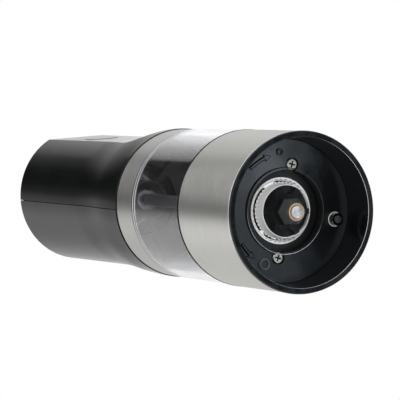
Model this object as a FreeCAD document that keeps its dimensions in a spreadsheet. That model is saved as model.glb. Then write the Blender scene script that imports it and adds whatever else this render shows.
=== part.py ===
import FreeCAD, Part
import math
import os

import Sketcher
from FreeCAD import Placement, Rotation, Vector

# Battery pepper mill, standing upright on its mouth rim.
# Millimetres, +Z up the axis, origin at the centre of the rim face on the table.
# The flat facet with the push button faces -Y.

doc = FreeCAD.newDocument("PepperMill")
sheet = doc.addObject("Spreadsheet::Sheet", "Sizes")

DRIVING = {
    # whole mill
    "body_radius": 31.0,
    "total_height": 210.6,
    # base unit: housing, steel sleeve and grinder plate
    "rim_height": 1.3,
    "rim_chamfer": 0.3,
    "sleeve_wall": 0.7,
    "sleeve_top": 44.3,
    "mouth_radius": 28.9,
    "throat_radius": 27.7,
    "housing_bore": 27.0,
    "floor_level": 14.2,
    "plate_top": 16.8,
    "plate_hole": 15.9,
    "holder_level": 31.0,
    "holder_top": 34.0,
    "screw_circle": 18.2,
    "lamp_circle": 20.9,
    "lamp_azimuth": 13.5,
    "lamp_radius": 2.5,
    # pepper chamber
    "chamber_radius": 30.7,
    "chamber_bore": 28.1,
    "skirt_bore": 26.9,
    "chamber_top": 88.2,
    "hub_radius": 8.4,
    "hub_top": 40.8,
    "spoke_top": 36.2,
    "bush_radius": 4.4,
    # drive and burrs
    "shaft_radius": 2.6,
    "shaft_bottom": 4.4,
    "shaft_top": 92.7,
    "rotor_radius": 11.4,
    "rotor_level": 17.6,
    "rotor_top": 30.0,
    "stator_nose": 12.9,
    "stator_radius": 15.6,
    "stator_level": 17.8,
    "stator_step": 19.2,
    "knob_radius": 9.9,
    "knob_level": 13.0,
    # handle
    "ring_radius": 30.4,
    "ring_bottom": 88.6,
    "ring_top": 103.2,
    "foot_level": 103.6,
    "foot_radius": 30.7,
    "flare_radius": 215.0,
    "waist_level": 150.0,
    "waist_radius": 28.45,
    "crown_radius": 28.75,
    "crown_fillet": 1.2,
    "facet_offset": 25.6,
    "facet_end": 128.0,
    "scoop_radius": 47.0,
    "shell_bore": 26.2,
    "shell_wall": 2.3,
    "button_radius": 7.2,
    "button_level": 181.5,
    # gearbox, motor and cells
    "gear_module": 0.6,
    "gearbox_radius": 15.2,
    "gearbox_bottom": 91.5,
    "gear_level": 95.2,
    "gear_width": 6.4,
    "motor_level": 105.2,
    "motor_radius": 12.2,
    "motor_length": 30.8,
    "carrier_level": 141.0,
    "cell_radius": 7.1,
    "cell_length": 49.2,
    "cell_offset": 7.6,
}

# Millimetres of running clearance between a turning or sliding piece and its neighbour.
RUNNING = 0.1
# Millimetres of the wall of the lamp's collar.
COLLAR_WALL = 0.4
# Degrees round the axis of the three spokes that carry the shaft bush.
SPOKE_AZIMUTHS = (73.5, 193.5, 313.5)
SUN_TEETH = 12
PLANET_TEETH = 15
RING_TEETH = 42
PLANET_ANGLES = (90, 210, 330)


class Size:
    """A length: its value in millimetres and the sheet expression that gives it."""

    def __init__(self, value, text):
        self.value = float(value)
        self.text = text

    def __add__(self, other):
        return merge(self, "+", other)

    def __radd__(self, other):
        return merge(other, "+", self)

    def __sub__(self, other):
        return merge(self, "-", other)

    def __rsub__(self, other):
        return merge(other, "-", self)

    def __mul__(self, factor):
        return merge(self, "*", factor)

    def __neg__(self):
        return merge(0, "-", self)


def as_size(item):
    return item if isinstance(item, Size) else Size(item, "%.6f" % item)


def merge(first, sign, second):
    a = as_size(first)
    b = as_size(second)
    value = {"+": a.value + b.value, "-": a.value - b.value, "*": a.value * b.value}[sign]
    return Size(value, "(%s %s (%s))" % (a.text, sign, b.text))


def fill_sheet():
    """Write every driving dimension into its own aliased cell."""
    for row, (alias, value) in enumerate(DRIVING.items(), start=1):
        sheet.set("A%d" % row, alias.replace("_", " "))
        sheet.set("B%d" % row, str(value))
        sheet.setAlias("B%d" % row, alias)
    doc.recompute()


def size(alias):
    return Size(sheet.get(alias), "Sizes." + alias)


def bind(target, **values):
    """Bind properties to the sheet; x, y and z place the object."""
    for name, item in values.items():
        path = "Placement.Base." + name if name in ("x", "y", "z") else name
        target.setExpression(path, as_size(item).text)
    return target


pieces = {}


def piece(label, target):
    """Register a finished sub-part under the name of its node."""
    target.Label = label
    pieces[label] = target
    return target


# ---- building blocks -------------------------------------------------------------------------

def cylinder(name, radius, bottom, top, x=0, y=0):
    solid = doc.addObject("Part::Cylinder", name)
    return bind(solid, Radius=radius, Height=top - bottom, x=x, y=y, z=bottom)


def cylinder_along_y(name, radius, start, end, x, z):
    """A cylinder whose axis runs along +Y from start to end."""
    solid = doc.addObject("Part::Cylinder", name)
    solid.Placement = Placement(Vector(), Rotation(Vector(1, 0, 0), -90))
    return bind(solid, Radius=radius, Height=end - start, x=x, y=start, z=z)


def box(name, low, high):
    """A box between two opposite corners."""
    solid = doc.addObject("Part::Box", name)
    bind(solid, Length=high[0] - low[0], Width=high[1] - low[1], Height=high[2] - low[2])
    return bind(solid, x=low[0], y=low[1], z=low[2])


def radial_box(name, azimuth, inner, outer, across, width, bottom, top):
    """A box lying along a radius: across is its centre's sideways offset."""
    solid = doc.addObject("Part::Box", name)
    turn = math.radians(azimuth)
    solid.Placement = Placement(Vector(), Rotation(Vector(0, 0, 1), azimuth))
    side = as_size(across) - as_size(width) * 0.5
    bind(solid, Length=as_size(outer) - inner, Width=width, Height=as_size(top) - bottom)
    corner_x = as_size(inner) * math.cos(turn) - side * math.sin(turn)
    corner_y = as_size(inner) * math.sin(turn) + side * math.cos(turn)
    return bind(solid, x=corner_x, y=corner_y, z=bottom)


def polar(radius, azimuth):
    turn = math.radians(azimuth)
    return as_size(radius) * math.cos(turn), as_size(radius) * math.sin(turn)


def fuse(name, *solids):
    joined = doc.addObject("Part::MultiFuse", name)
    joined.Shapes = list(solids)
    return joined


def cut(name, base, *tools):
    result = doc.addObject("Part::Cut", name)
    result.Base = base
    result.Tool = tools[0] if len(tools) == 1 else fuse(name + "_tools", *tools)
    return result


def common(name, first, second):
    result = doc.addObject("Part::Common", name)
    result.Base = first
    result.Tool = second
    return result


def group(name, *solids):
    """Several separate solids kept in one node."""
    result = doc.addObject("Part::Compound", name)
    result.Links = list(solids)
    return result


def plain(name, shape):
    result = doc.addObject("Part::Feature", name)
    result.Shape = shape
    return result


def pin_point(sketch, element, vertex, across, up):
    """Fix one sketch point at its distances from the sketch's two axes."""
    for kind, axis, item in (("DistanceX", -2, across), ("DistanceY", -1, up)):
        if abs(item.value) < 1e-9:
            sketch.addConstraint(Sketcher.Constraint("PointOnObject", element, vertex, axis))
        else:
            rule = Sketcher.Constraint(kind, -1, 1, element, vertex, item.value)
            number = sketch.addConstraint(rule)
            sketch.setExpression("Constraints[%d]" % number, item.text)


def arc_between(start, end, radius):
    """A short arc; a positive radius turns left on the way from start to end."""
    chord = end - start
    half = chord.Length / 2
    left = Vector(-chord.y, chord.x, 0).normalize()
    rise = abs(radius) - math.sqrt(radius * radius - half * half)
    side = -1 if radius > 0 else 1
    middle = (start + end) * 0.5 + left * (side * rise)
    return Part.Arc(start, middle, end)


def sketch_on(body, name, role):
    sketch = body.newObject("Sketcher::SketchObject", name)
    plane = [item for item in body.Origin.OriginFeatures if item.Role == role][0]
    sketch.AttachmentSupport = [(plane, "")]
    sketch.MapMode = "FlatFace"
    return sketch


def draw_outline(sketch, points):
    """Draw a closed outline. A point is (across, up) or (across, up, radius of the next arc)."""
    corners = [Vector(as_size(p[0]).value, as_size(p[1]).value, 0) for p in points]
    ends = []
    for index, point in enumerate(points):
        start = corners[index]
        end = corners[(index + 1) % len(points)]
        if len(point) == 3:
            radius = as_size(point[2])
            sketch.addGeometry(arc_between(start, end, radius.value), False)
            ends.append((1, 2) if radius.value > 0 else (2, 1))
        else:
            sketch.addGeometry(Part.LineSegment(start, end), False)
            ends.append((1, 2))
    for index, point in enumerate(points):
        following = (index + 1) % len(points)
        rule = Sketcher.Constraint("Coincident", index, ends[index][1], following, ends[following][0])
        sketch.addConstraint(rule)
        pin_point(sketch, index, ends[index][0], as_size(point[0]), as_size(point[1]))
        if len(point) == 3:
            radius = as_size(point[2]) if as_size(point[2]).value > 0 else -as_size(point[2])
            number = sketch.addConstraint(Sketcher.Constraint("Radius", index, radius.value))
            sketch.setExpression("Constraints[%d]" % number, radius.text)
    return sketch


def turned(name, points):
    """A body turned about Z from an outline given as (radius, height) points."""
    body = doc.addObject("PartDesign::Body", name)
    sketch = draw_outline(sketch_on(body, name + "_outline", "XZ_Plane"), points)
    revolution = body.newObject("PartDesign::Revolution", name + "_turning")
    revolution.Profile = sketch
    revolution.ReferenceAxis = (sketch, ["V_Axis"])
    revolution.Angle = 360
    sketch.Visibility = False
    return body


def tube(name, inner, outer, bottom, top):
    return turned(name, [(inner, bottom), (outer, bottom), (outer, top), (inner, top)])


def extruded(name, role, points, depth, both_ways=True):
    """A body padded from an outline on one of its origin planes."""
    body = doc.addObject("PartDesign::Body", name)
    sketch = draw_outline(sketch_on(body, name + "_outline", role), points)
    pad = body.newObject("PartDesign::Pad", name + "_pad")
    pad.Profile = sketch
    pad.Midplane = both_ways
    pad.setExpression("Length", as_size(depth).text)
    sketch.Visibility = False
    return body


def coil(name, radius, wire, length, turns):
    """A helical spring along +Z, swept half a turn at a time from the origin's height."""
    pitch = (length - wire) / turns
    path = []
    for number in range(2 * turns):
        half_turn = Part.makeHelix(pitch, pitch / 2, radius)
        half_turn.rotate(Vector(), Vector(0, 0, 1), 180 * number)
        half_turn.translate(Vector(0, 0, pitch / 2 * number))
        path += half_turn.Edges
    start = Vector(radius, 0, 0)
    section = Part.Wire(Part.Circle(start, Vector(0, 1, 0), wire / 2).toShape())
    spring = Part.Wire(path).makePipeShell([section], True, True)
    return plain(name, Part.Solid(spring) if spring.ShapeType == "Shell" else spring)


def gear_shape(teeth, tip, root, slack, bottom, width, start):
    """Involute gear blank: tip and root are in modules, slack thins each tooth."""
    module = size("gear_module").value
    pitch = module * teeth / 2
    base = pitch * math.cos(math.radians(20))
    tip_radius = pitch + tip * module
    root_radius = pitch - root * module
    half_pitch_angle = (math.pi * module / 2 - slack) / (2 * pitch)

    def involute(radius):
        pressure = math.acos(min(1.0, base / radius))
        return math.tan(pressure) - pressure

    at_pitch = involute(pitch)
    steps = 4
    low = max(base, root_radius)
    radii = [low + (tip_radius - low) * step / steps for step in range(steps + 1)]
    flank = [(root_radius, half_pitch_angle + at_pitch - involute(low))] if root_radius < base else []
    flank += [(radius, half_pitch_angle + at_pitch - involute(radius)) for radius in radii]
    points = []
    for tooth in range(teeth):
        centre = math.radians(start) + 2 * math.pi * tooth / teeth
        rising = [(radius, centre - half) for radius, half in flank]
        falling = [(radius, centre + half) for radius, half in reversed(flank)]
        for radius, angle in rising + falling:
            points.append(Vector(radius * math.cos(angle), radius * math.sin(angle), bottom))
    points.append(points[0])
    return Part.Face(Part.makePolygon(points)).extrude(Vector(0, 0, width))


def star_wire(teeth, crest, valley, level, twist):
    """A zigzag ring of burr teeth at one height."""
    points = []
    for step in range(2 * teeth):
        angle = math.pi * step / teeth + math.radians(twist)
        radius = crest if step % 2 == 0 else valley
        points.append(Vector(radius * math.cos(angle), radius * math.sin(angle), level))
    points.append(points[0])
    return Part.makePolygon(points)


def toothed_cone(teeth, depth, low, high, twist):
    """Burr teeth between two (radius, height) stations; a negative depth cuts outwards."""
    first = star_wire(teeth, low[0], low[0] - depth, low[1], 0)
    second = star_wire(teeth, high[0], high[0] - depth, high[1], twist)
    return Part.makeLoft([first, second], True, True)


# ---- base unit -------------------------------------------------------------------------------

def build_base():
    rim = size("body_radius")
    skin = rim - size("sleeve_wall")
    bore = size("housing_bore")
    throat = size("throat_radius")
    mouth = size("mouth_radius")
    floor = size("floor_level")
    plate_top = size("plate_top")
    holder = size("holder_level")
    sleeve_top = size("sleeve_top")
    chamfer = size("rim_chamfer")
    rim_height = size("rim_height")

    housing = turned("base_housing_body", [
        (mouth, 0),
        (rim - chamfer, 0),
        (rim, chamfer),
        (rim, rim_height),
        (skin, rim_height),
        (skin, sleeve_top),
        (mouth, sleeve_top),
        (mouth, holder),
        (bore, holder),
        (bore, plate_top),
        (throat, plate_top),
        (throat, floor),
    ])
    piece("base_housing", housing)
    piece("steel_sleeve", turned("steel_sleeve_body", [
        (skin, rim_height),
        (rim, rim_height),
        (rim, sleeve_top - chamfer),
        (rim - chamfer, sleeve_top),
        (skin, sleeve_top),
    ]))

    build_grinder_plate(throat, floor, plate_top)
    build_lamp(plate_top)
    build_burr_holder(mouth, holder, plate_top)


def screw_azimuths():
    lamp = size("lamp_azimuth").value
    return lamp - 90, lamp + 90


def build_grinder_plate(throat, floor, top):
    """The floor of the mouth: ring plate with a lipped hole, screw dishes and raised marks."""
    hole = size("plate_hole")
    lip = hole + 0.8
    dish_radius = 2.75
    blank = turned("plate_blank", [
        (hole, floor - 0.6),
        (lip, floor - 0.6),
        (lip, floor),
        (throat - RUNNING, floor),
        (throat - RUNNING, top),
        (hole, top),
    ])
    openings = []
    for number, azimuth in enumerate(screw_azimuths()):
        x, y = polar(size("screw_circle"), azimuth)
        openings.append(cylinder("screw_dish_%d" % number, dish_radius, floor - 1.0, floor + 1.1, x, y))
        openings.append(cylinder("screw_way_%d" % number, 1.4, floor - 1.0, top + 1.0, x, y))
    lamp_x, lamp_y = polar(size("lamp_circle"), size("lamp_azimuth").value)
    lamp_way = size("lamp_radius") + COLLAR_WALL
    openings.append(cylinder("lamp_way", lamp_way, floor - 1.0, top + 1.0, lamp_x, lamp_y))
    plate = cut("plate_drilled", blank, *openings)

    # Raised marks: a small and a large ring for fine and coarse, with an arrow towards each.
    relief = 0.4
    low = floor - relief
    marks = []
    for number, (azimuth, circle, radius) in enumerate(((-92.0, 22.8, 1.3), (118.0, 22.1, 2.2))):
        x, y = polar(circle, azimuth)
        disc = cylinder("mark_disc_%d" % number, radius, low, floor + 0.2, x, y)
        centre = cylinder("mark_centre_%d" % number, radius - 0.5, low - 1.0, floor + 1.0, x, y)
        marks.append(cut("mark_ring_%d" % number, disc, centre))
    for number, (tip, tail) in enumerate(((-102.5, -128.5), (130.5, 150.5))):
        marks.append(plain("mark_arrow_%d" % number, arrow_shape(22.2, tip, tail, low.value, relief + 0.2)))
    piece("grinder_plate", fuse("grinder_plate_marked", plate, *marks))


def arrow_shape(radius, tip, tail, low, height):
    """A curved arrow: a narrow arc band that ends in a triangular head."""
    band = 0.9
    head_angle = math.copysign(7.0, tail - tip)
    neck = tip + head_angle

    def at(distance, azimuth):
        turn = math.radians(azimuth)
        return Vector(distance * math.cos(turn), distance * math.sin(turn), low)

    middle = (neck + tail) / 2
    outer = radius + band / 2
    inner = radius - band / 2
    barb = 1.3
    edges = [
        Part.Arc(at(outer, neck), at(outer, middle), at(outer, tail)).toShape(),
        Part.makeLine(at(outer, tail), at(inner, tail)),
        Part.Arc(at(inner, tail), at(inner, middle), at(inner, neck)).toShape(),
        Part.makeLine(at(inner, neck), at(radius - barb, neck)),
        Part.makeLine(at(radius - barb, neck), at(radius, tip)),
        Part.makeLine(at(radius, tip), at(radius + barb, neck)),
        Part.makeLine(at(radius + barb, neck), at(outer, neck)),
    ]
    return Part.Face(Part.Wire(edges)).extrude(Vector(0, 0, height))


def build_lamp(plate_top):
    """A 5 mm lamp in a short collar, its board and the two strips that feed it."""
    azimuth = size("lamp_azimuth").value
    radius = size("lamp_radius")
    x, y = polar(size("lamp_circle"), azimuth)
    dome_level = as_size(10.2)
    flange_level = plate_top + 0.2
    board_level = flange_level + 1.0

    collar = cylinder("collar_outside", radius + COLLAR_WALL, 12.0, plate_top + 0.1, x, y)
    bore = cylinder("collar_bore", radius + 0.05, 9.0, plate_top + 1.0, x, y)
    piece("lamp_collar", cut("lamp_collar_ring", collar, bore))

    dome = bind(doc.addObject("Part::Sphere", "lamp_dome"), Radius=radius, x=x, y=y, z=dome_level)
    barrel = cylinder("lamp_barrel", radius, dome_level, flange_level, x, y)
    flange = cylinder("lamp_flange", radius + 0.4, flange_level, board_level, x, y)
    piece("lamp", fuse("lamp_solid", dome, barrel, flange))

    board_outer = size("housing_bore") - 0.5
    board_top = board_level + 1.0
    board = radial_box("lamp_board_slab", azimuth, 18.4, board_outer, 0, 8.0, board_level, board_top)
    piece("lamp_board", board)
    strips = []
    for side in (-1, 1):
        name = "lamp_strip_%d" % (side + 1)
        strips.append(radial_box(
            name, azimuth, board_outer - 0.6, board_outer - 0.1, side * 2.2, 2.4,
            board_top, size("chamber_top") - 2.1))
    piece("lamp_strips", group("lamp_strips_pair", *strips))


def strip_slot(name, bottom, top):
    """Clearance for both lamp strips through a wall."""
    outer = size("housing_bore") - 0.5
    return radial_box(name, size("lamp_azimuth").value, outer - 0.9, outer + 0.1, 0, 7.4, bottom, top)


def build_burr_holder(disc_radius, level, plate_top):
    """Partition above the burrs: it holds the fixed burr, takes the plate screws and carries the
    spoked hub."""
    stator = size("stator_radius")
    nose = size("stator_nose")
    face = size("stator_level")
    step = size("stator_step")
    top = size("holder_top")
    blank = turned("holder_blank", [
        (nose, face),
        (stator + 1.6, face),
        (stator + 1.6, level),
        (disc_radius - 0.05, level),
        (disc_radius - 0.05, top),
        (stator, top),
        (stator, step),
        (nose, step),
    ])
    posts = []
    drills = [
        cylinder("holder_nose_way", nose, plate_top - 1.0, step),
        cylinder("holder_bore", stator, step, top + 1.0),
        strip_slot("holder_slot", level - 1.0, top + 1.0),
    ]
    for number, azimuth in enumerate(screw_azimuths()):
        x, y = polar(size("screw_circle"), azimuth)
        posts.append(cylinder("holder_post_%d" % number, 3.2, plate_top, level + 0.5, x, y))
        drills.append(cylinder("holder_pilot_%d" % number, 1.2, plate_top - 1.0, 28.2, x, y))
    spokes = []
    for azimuth in SPOKE_AZIMUTHS:
        name = "holder_spoke_%d" % azimuth
        reach = size("skirt_bore") - 0.1
        spokes.append(radial_box(name, azimuth, 6.0, reach, 0, 2.6, top, size("spoke_top")))
    hub = cylinder("holder_hub", size("hub_radius"), top, size("spoke_top"))
    drills.append(cylinder("holder_hub_way", size("bush_radius"), top - 1.0, size("spoke_top") + 1.0))
    piece("burr_holder", cut(
        "burr_holder_drilled", fuse("holder_posted", blank, hub, *posts, *spokes), *drills))

    body = Part.makeCylinder(stator.value, (level - step).value, Vector(0, 0, step.value))
    ring = body.fuse(Part.makeCylinder(nose.value, (step - face).value, Vector(0, 0, face.value)))
    low = (11.85, face.value - 0.01)
    high = (12.25, level.value + 0.01)
    teeth = toothed_cone(36, -0.55, low, high, 6)
    piece("stator_burr", plain("stator_burr_ring", ring.cut(teeth).removeSplitter()))

    screws = []
    seat = size("floor_level") + 1.1
    for number, azimuth in enumerate(screw_azimuths()):
        x, y = polar(size("screw_circle"), azimuth)
        screws.append(pan_screw("plate_screw_%d" % number, x, y, seat, 1.2, 12.3, 2.15, 1.2))
    piece("plate_screws", group("plate_screws_pair", *screws))


def pan_screw(name, x, y, seat, shank, length, head, head_height):
    """A cross-slot screw driven upwards, its head below the seat with a sloping crown."""
    slope = 0.25 * head_height
    crown = bind(
        doc.addObject("Part::Cone", name + "_crown"),
        Radius1=0.85 * head, Radius2=head, Height=slope, x=x, y=y, z=seat - head_height)
    solid = fuse(
        name + "_solid",
        crown,
        cylinder(name + "_head", head, seat - head_height + slope, seat, x, y),
        cylinder(name + "_shank", shank, seat, seat + length, x, y))
    slots = []
    for turn in (20, 110):
        slot = doc.addObject("Part::Box", "%s_slot_%d" % (name, turn))
        slot.Placement = Placement(Vector(), Rotation(Vector(0, 0, 1), turn))
        angle = math.radians(turn)
        half_long = 0.62 * head
        half_wide = 0.15 * head
        offset_x = half_long * math.cos(angle) - half_wide * math.sin(angle)
        offset_y = half_long * math.sin(angle) + half_wide * math.cos(angle)
        bind(slot, Length=2 * half_long, Width=2 * half_wide, Height=0.5 + 0.7 * head_height)
        bind(slot, x=x - offset_x, y=y - offset_y, z=seat - head_height - 0.5)
        slots.append(slot)
    return cut(name, solid, *slots)


# ---- pepper chamber --------------------------------------------------------------------------

def build_chamber():
    """Clear chamber: wall and the skirt that sits in the base, and the clear bush on the spoked hub."""
    outer = size("chamber_radius")
    bore = size("chamber_bore")
    skirt = size("skirt_bore")
    skirt_outer = size("mouth_radius") - 0.05
    bottom = size("holder_top")
    shoulder = size("sleeve_top")
    top = size("chamber_top")
    wall = turned("chamber_wall", [
        (skirt, bottom),
        (skirt_outer, bottom),
        (skirt_outer, shoulder),
        (outer, shoulder),
        (outer, top),
        (bore, top),
        (bore, shoulder + 1.7),
        (skirt, shoulder + 0.5),
    ])
    piece("chamber", wall)

    bore_radius = size("shaft_radius") + 0.06
    sleeve_radius = size("bush_radius") - 0.03
    boss_radius = size("hub_radius")
    boss_bottom = size("spoke_top") + 0.03
    boss_top = size("hub_top")
    bevel = 0.7
    piece("shaft_bushing", turned("shaft_bushing_body", [
        (bore_radius, bottom - 0.6),
        (sleeve_radius, bottom - 0.6),
        (sleeve_radius, boss_bottom),
        (boss_radius, boss_bottom),
        (boss_radius, boss_top - bevel),
        (boss_radius - bevel, boss_top),
        (bore_radius, boss_top),
    ]))


# ---- drive shaft, burrs and adjuster ---------------------------------------------------------

def build_drive():
    radius = size("shaft_radius")
    flats_low = 16.0
    flats_high = 31.5
    thread_top = size("rotor_level") + 0.5
    thread = cylinder("shaft_thread", radius - 0.1, size("shaft_bottom"), thread_top)
    stem = cylinder("shaft_stem", radius, thread_top, size("ring_bottom") + 0.4)
    tip = doc.addObject("Part::Prism", "shaft_hexagon")
    tip.Polygon = 6
    tip_height = size("shaft_top") - size("ring_bottom")
    bind(tip, Circumradius=radius - 0.06, Height=tip_height, z=size("ring_bottom"))
    flats = []
    for side in (-1, 1):
        edge = side * 3.65
        flats.append(box("shaft_flat_%d" % (side + 1),
                         (as_size(-3.0), as_size(edge - 1.4), as_size(flats_low)),
                         (as_size(3.0), as_size(edge + 1.4), as_size(flats_high))))
    piece("drive_shaft", cut("drive_shaft_milled", fuse("shaft_blank", thread, stem, tip), *flats))
    wire = 0.7
    spring_bottom = 26.3
    clip_bottom = 32.0
    spring = coil("burr_spring_coil", 3.6, wire, clip_bottom - spring_bottom - RUNNING, 4)
    bind(spring, z=spring_bottom + wire / 2)
    piece("burr_spring", spring)
    piece("shaft_clip", tube("shaft_clip_body", radius, radius + 1.6, clip_bottom, clip_bottom + 0.8))

    build_rotor(radius)
    build_adjuster(radius)


def build_rotor(shaft):
    """The turning ceramic burr: fine teeth round the foot, spiral feed teeth above them, and a
    tapering skirt below them that the star knob sits in."""
    foot = (size("rotor_radius").value, size("rotor_level").value)
    waist = (size("rotor_radius").value - 1.5, size("rotor_level").value + 3.4)
    crown = (7.0, size("rotor_top").value)
    fine = toothed_cone(44, 0.55, foot, waist, 4)
    coarse = toothed_cone(9, 1.6, (waist[0] - 0.6, waist[1] - 0.5), crown, 35)
    burr = plain("rotor_teeth", fine.fuse(coarse))
    skirt_bore = size("knob_radius") + 0.1
    skirt_bottom = size("knob_level") + 0.15
    skirt_top = size("rotor_level") + 0.1
    skirt = turned("rotor_skirt", [
        (skirt_bore, skirt_bottom),
        (skirt_bore + 0.25, skirt_bottom),
        (skirt_bore + 0.85, skirt_top),
        (skirt_bore, skirt_top),
    ])
    blank = fuse("rotor_blank", burr, skirt)
    side = shaft + 0.05
    bore = cylinder("rotor_bore", side, foot[1] - 1.0, foot[1] + 14.0)
    flat = 2.25 + 0.06
    slab = box("rotor_flats",
               (-side, as_size(-flat), as_size(10.0)),
               (side, as_size(flat), as_size(40.0)))
    keyway = common("rotor_keyway", bore, slab)
    pocket = cylinder("rotor_spring_pocket", 4.6, 26.2, foot[1] + 14.0)
    piece("rotor_burr", cut("rotor_burr_bored", blank, keyway, pocket))


def build_adjuster(shaft):
    """Star knob in the skirt of the burr: six scallops, a hexagonal hub that tapers towards its
    end, and a threaded insert."""
    level = size("knob_level")
    top = size("rotor_level") - 0.2
    insert_radius = 3.2
    insert_bottom = size("shaft_bottom") + 0.4
    body = doc.addObject("PartDesign::Body", "adjuster_star")
    outline = sketch_on(body, "star_circle", "XY_Plane")
    circle = outline.addGeometry(Part.Circle(Vector(), Vector(0, 0, 1), size("knob_radius").value), False)
    outline.addConstraint(Sketcher.Constraint("Coincident", circle, 3, -1, 1))
    number = outline.addConstraint(Sketcher.Constraint("Radius", circle, size("knob_radius").value))
    outline.setExpression("Constraints[%d]" % number, "Sizes.knob_radius")
    pad = body.newObject("PartDesign::Pad", "star_pad")
    pad.Profile = outline
    pad.setExpression("Length", (top - level).text)
    doc.recompute()

    scallop_radius = 4.1
    scallop_depth = 1.7
    scallop_centre = size("knob_radius") + 0.4
    scallops = sketch_on(body, "star_scallop", "XY_Plane")
    notch = scallops.addGeometry(
        Part.Circle(Vector(scallop_centre.value, 0, 0), Vector(0, 0, 1), scallop_radius), False)
    scallops.addConstraint(Sketcher.Constraint("PointOnObject", notch, 3, -1))
    number = scallops.addConstraint(
        Sketcher.Constraint("DistanceX", -1, 1, notch, 3, scallop_centre.value))
    scallops.setExpression("Constraints[%d]" % number, scallop_centre.text)
    scallops.addConstraint(Sketcher.Constraint("Radius", notch, scallop_radius))
    pocket = body.newObject("PartDesign::Pocket", "star_notch")
    pocket.Profile = scallops
    pocket.Length = scallop_depth
    pocket.Reversed = True
    doc.recompute()
    pattern = body.newObject("PartDesign::PolarPattern", "star_notches")
    pattern.Originals = [pocket]
    pattern.Axis = (scallops, ["N_Axis"])
    pattern.Angle = 360
    pattern.Occurrences = 6
    body.Tip = pattern
    body.Placement = Placement(Vector(), Rotation(Vector(0, 0, 1), -85))
    bind(body, z=level)

    hub_end = insert_bottom.value + 0.5
    hub_shoulder = 9.3
    hub_root = level.value + 0.2
    hub = plain("adjuster_hub", Part.makeLoft([
        hexagon_wire(4.2, hub_end),
        hexagon_wire(5.7, hub_shoulder),
        hexagon_wire(5.9, hub_root),
    ], True, True))
    bore = cylinder("adjuster_bore", insert_radius, 0, top + 1.0)
    piece("adjuster_knob", cut("adjuster_knob_bored", fuse("adjuster_blank", body, hub), bore))
    piece("brass_insert", tube("brass_insert_body", shaft - 0.05, insert_radius, insert_bottom, top))


def hexagon_wire(radius, level):
    """A closed hexagon round the axis at one height."""
    angles = [math.radians(2 + 60 * corner) for corner in range(7)]
    return Part.makePolygon([Vector(radius * math.cos(a), radius * math.sin(a), level) for a in angles])


# ---- handle ----------------------------------------------------------------------------------

def build_handle():
    build_shells()
    build_button()
    build_frame()
    build_gearbox()
    build_motor()
    build_cells()


def handle_blank(name, foot):
    """The outside of the handle, without its facet: a waisted cylinder with a flared foot."""
    top = size("total_height")
    crown = size("crown_radius")
    fillet = size("crown_fillet")
    waist = size("waist_radius")
    flare = size("flare_radius")
    middle_radius = (waist + size("foot_radius")) * 0.5
    middle_level = (size("waist_level") + size("foot_level")) * 0.5
    return turned(name, [
        (0, foot),
        (size("foot_radius"), foot),
        (size("foot_radius"), size("foot_level") + 1.0, flare),
        (middle_radius, middle_level, -flare),
        (waist, size("waist_level")),
        (crown, top - fillet, fillet),
        (crown - fillet, top),
        (0, top),
    ])


def facet_tool(name):
    """What is cut away in front of the facet, with the scoop where the facet meets the flare."""
    front = -size("facet_offset")
    end = size("facet_end")
    reach = 25.0
    drop = size("scoop_radius") - math.sqrt(DRIVING["scoop_radius"] ** 2 - reach ** 2)
    top = size("total_height") + 5.0
    return extruded(name, "YZ_Plane", [
        (front, top),
        (front, end, -size("scoop_radius")),
        (front - drop, end - reach),
        (front - 20.0, end - reach),
        (front - 20.0, top),
    ], 90.0)


def build_shells():
    """Front shell with the facet, and the rear shell that slides up off the cells."""
    foot = size("foot_level")
    top = size("total_height")
    ceiling = top - size("shell_wall")
    wall = size("shell_wall")
    bore = size("shell_bore")
    half_gap = 0.3
    width = 40.0

    cavity_round = cylinder("front_cavity_round", bore, foot - 5.0, ceiling)
    inner_face = wall - size("facet_offset")
    cavity_box = box("front_cavity_box", (as_size(-width), inner_face, foot - 5.0),
                     (as_size(width), as_size(width), ceiling))
    cavity = common("front_cavity", cavity_round, cavity_box)
    rear_side = box("front_rear_side", (as_size(-width), as_size(0.0), foot - 5.0),
                    (as_size(width), as_size(width), top + 5.0))
    button_way = cylinder_along_y("button_way", size("button_radius") + RUNNING,
                                  as_size(-width), as_size(-15.0), 0, size("button_level"))
    blank = handle_blank("front_blank", foot)
    front = cut("front_shell_hollow", blank, facet_tool("front_facet_tool"), cavity, rear_side, button_way)
    bosses = []
    pilots = []
    for side in (-1, 1):
        x, y = shell_screw_place(side)
        bosses.append(cylinder("shell_boss_%d" % (side + 1), 3.4, foot, foot + 15.0, x, y))
        pilots.append(cylinder("shell_pilot_%d" % (side + 1), 1.25, foot - 1.0, foot + 11.0, x, y))
    inside = handle_blank("boss_limit", foot)
    held = common("shell_bosses", fuse("shell_bosses_raw", *bosses), inside)
    piece("front_shell", cut("front_shell_drilled", fuse("front_shell_bossed", front, held), *pilots))

    rear_foot = foot + 0.3
    rear_cavity = cylinder("rear_cavity", bore, rear_foot - 5.0, ceiling)
    front_side = box("rear_front_side", (as_size(-width), as_size(-width), foot - 5.0),
                     (as_size(width), as_size(half_gap), top + 5.0))
    rear = cut("rear_shell_hollow", handle_blank("rear_blank", rear_foot), rear_cavity, front_side)
    piece("rear_shell", rear)


def shell_screw_place(side):
    return as_size(side * 22.4), as_size(-9.5)


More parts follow.
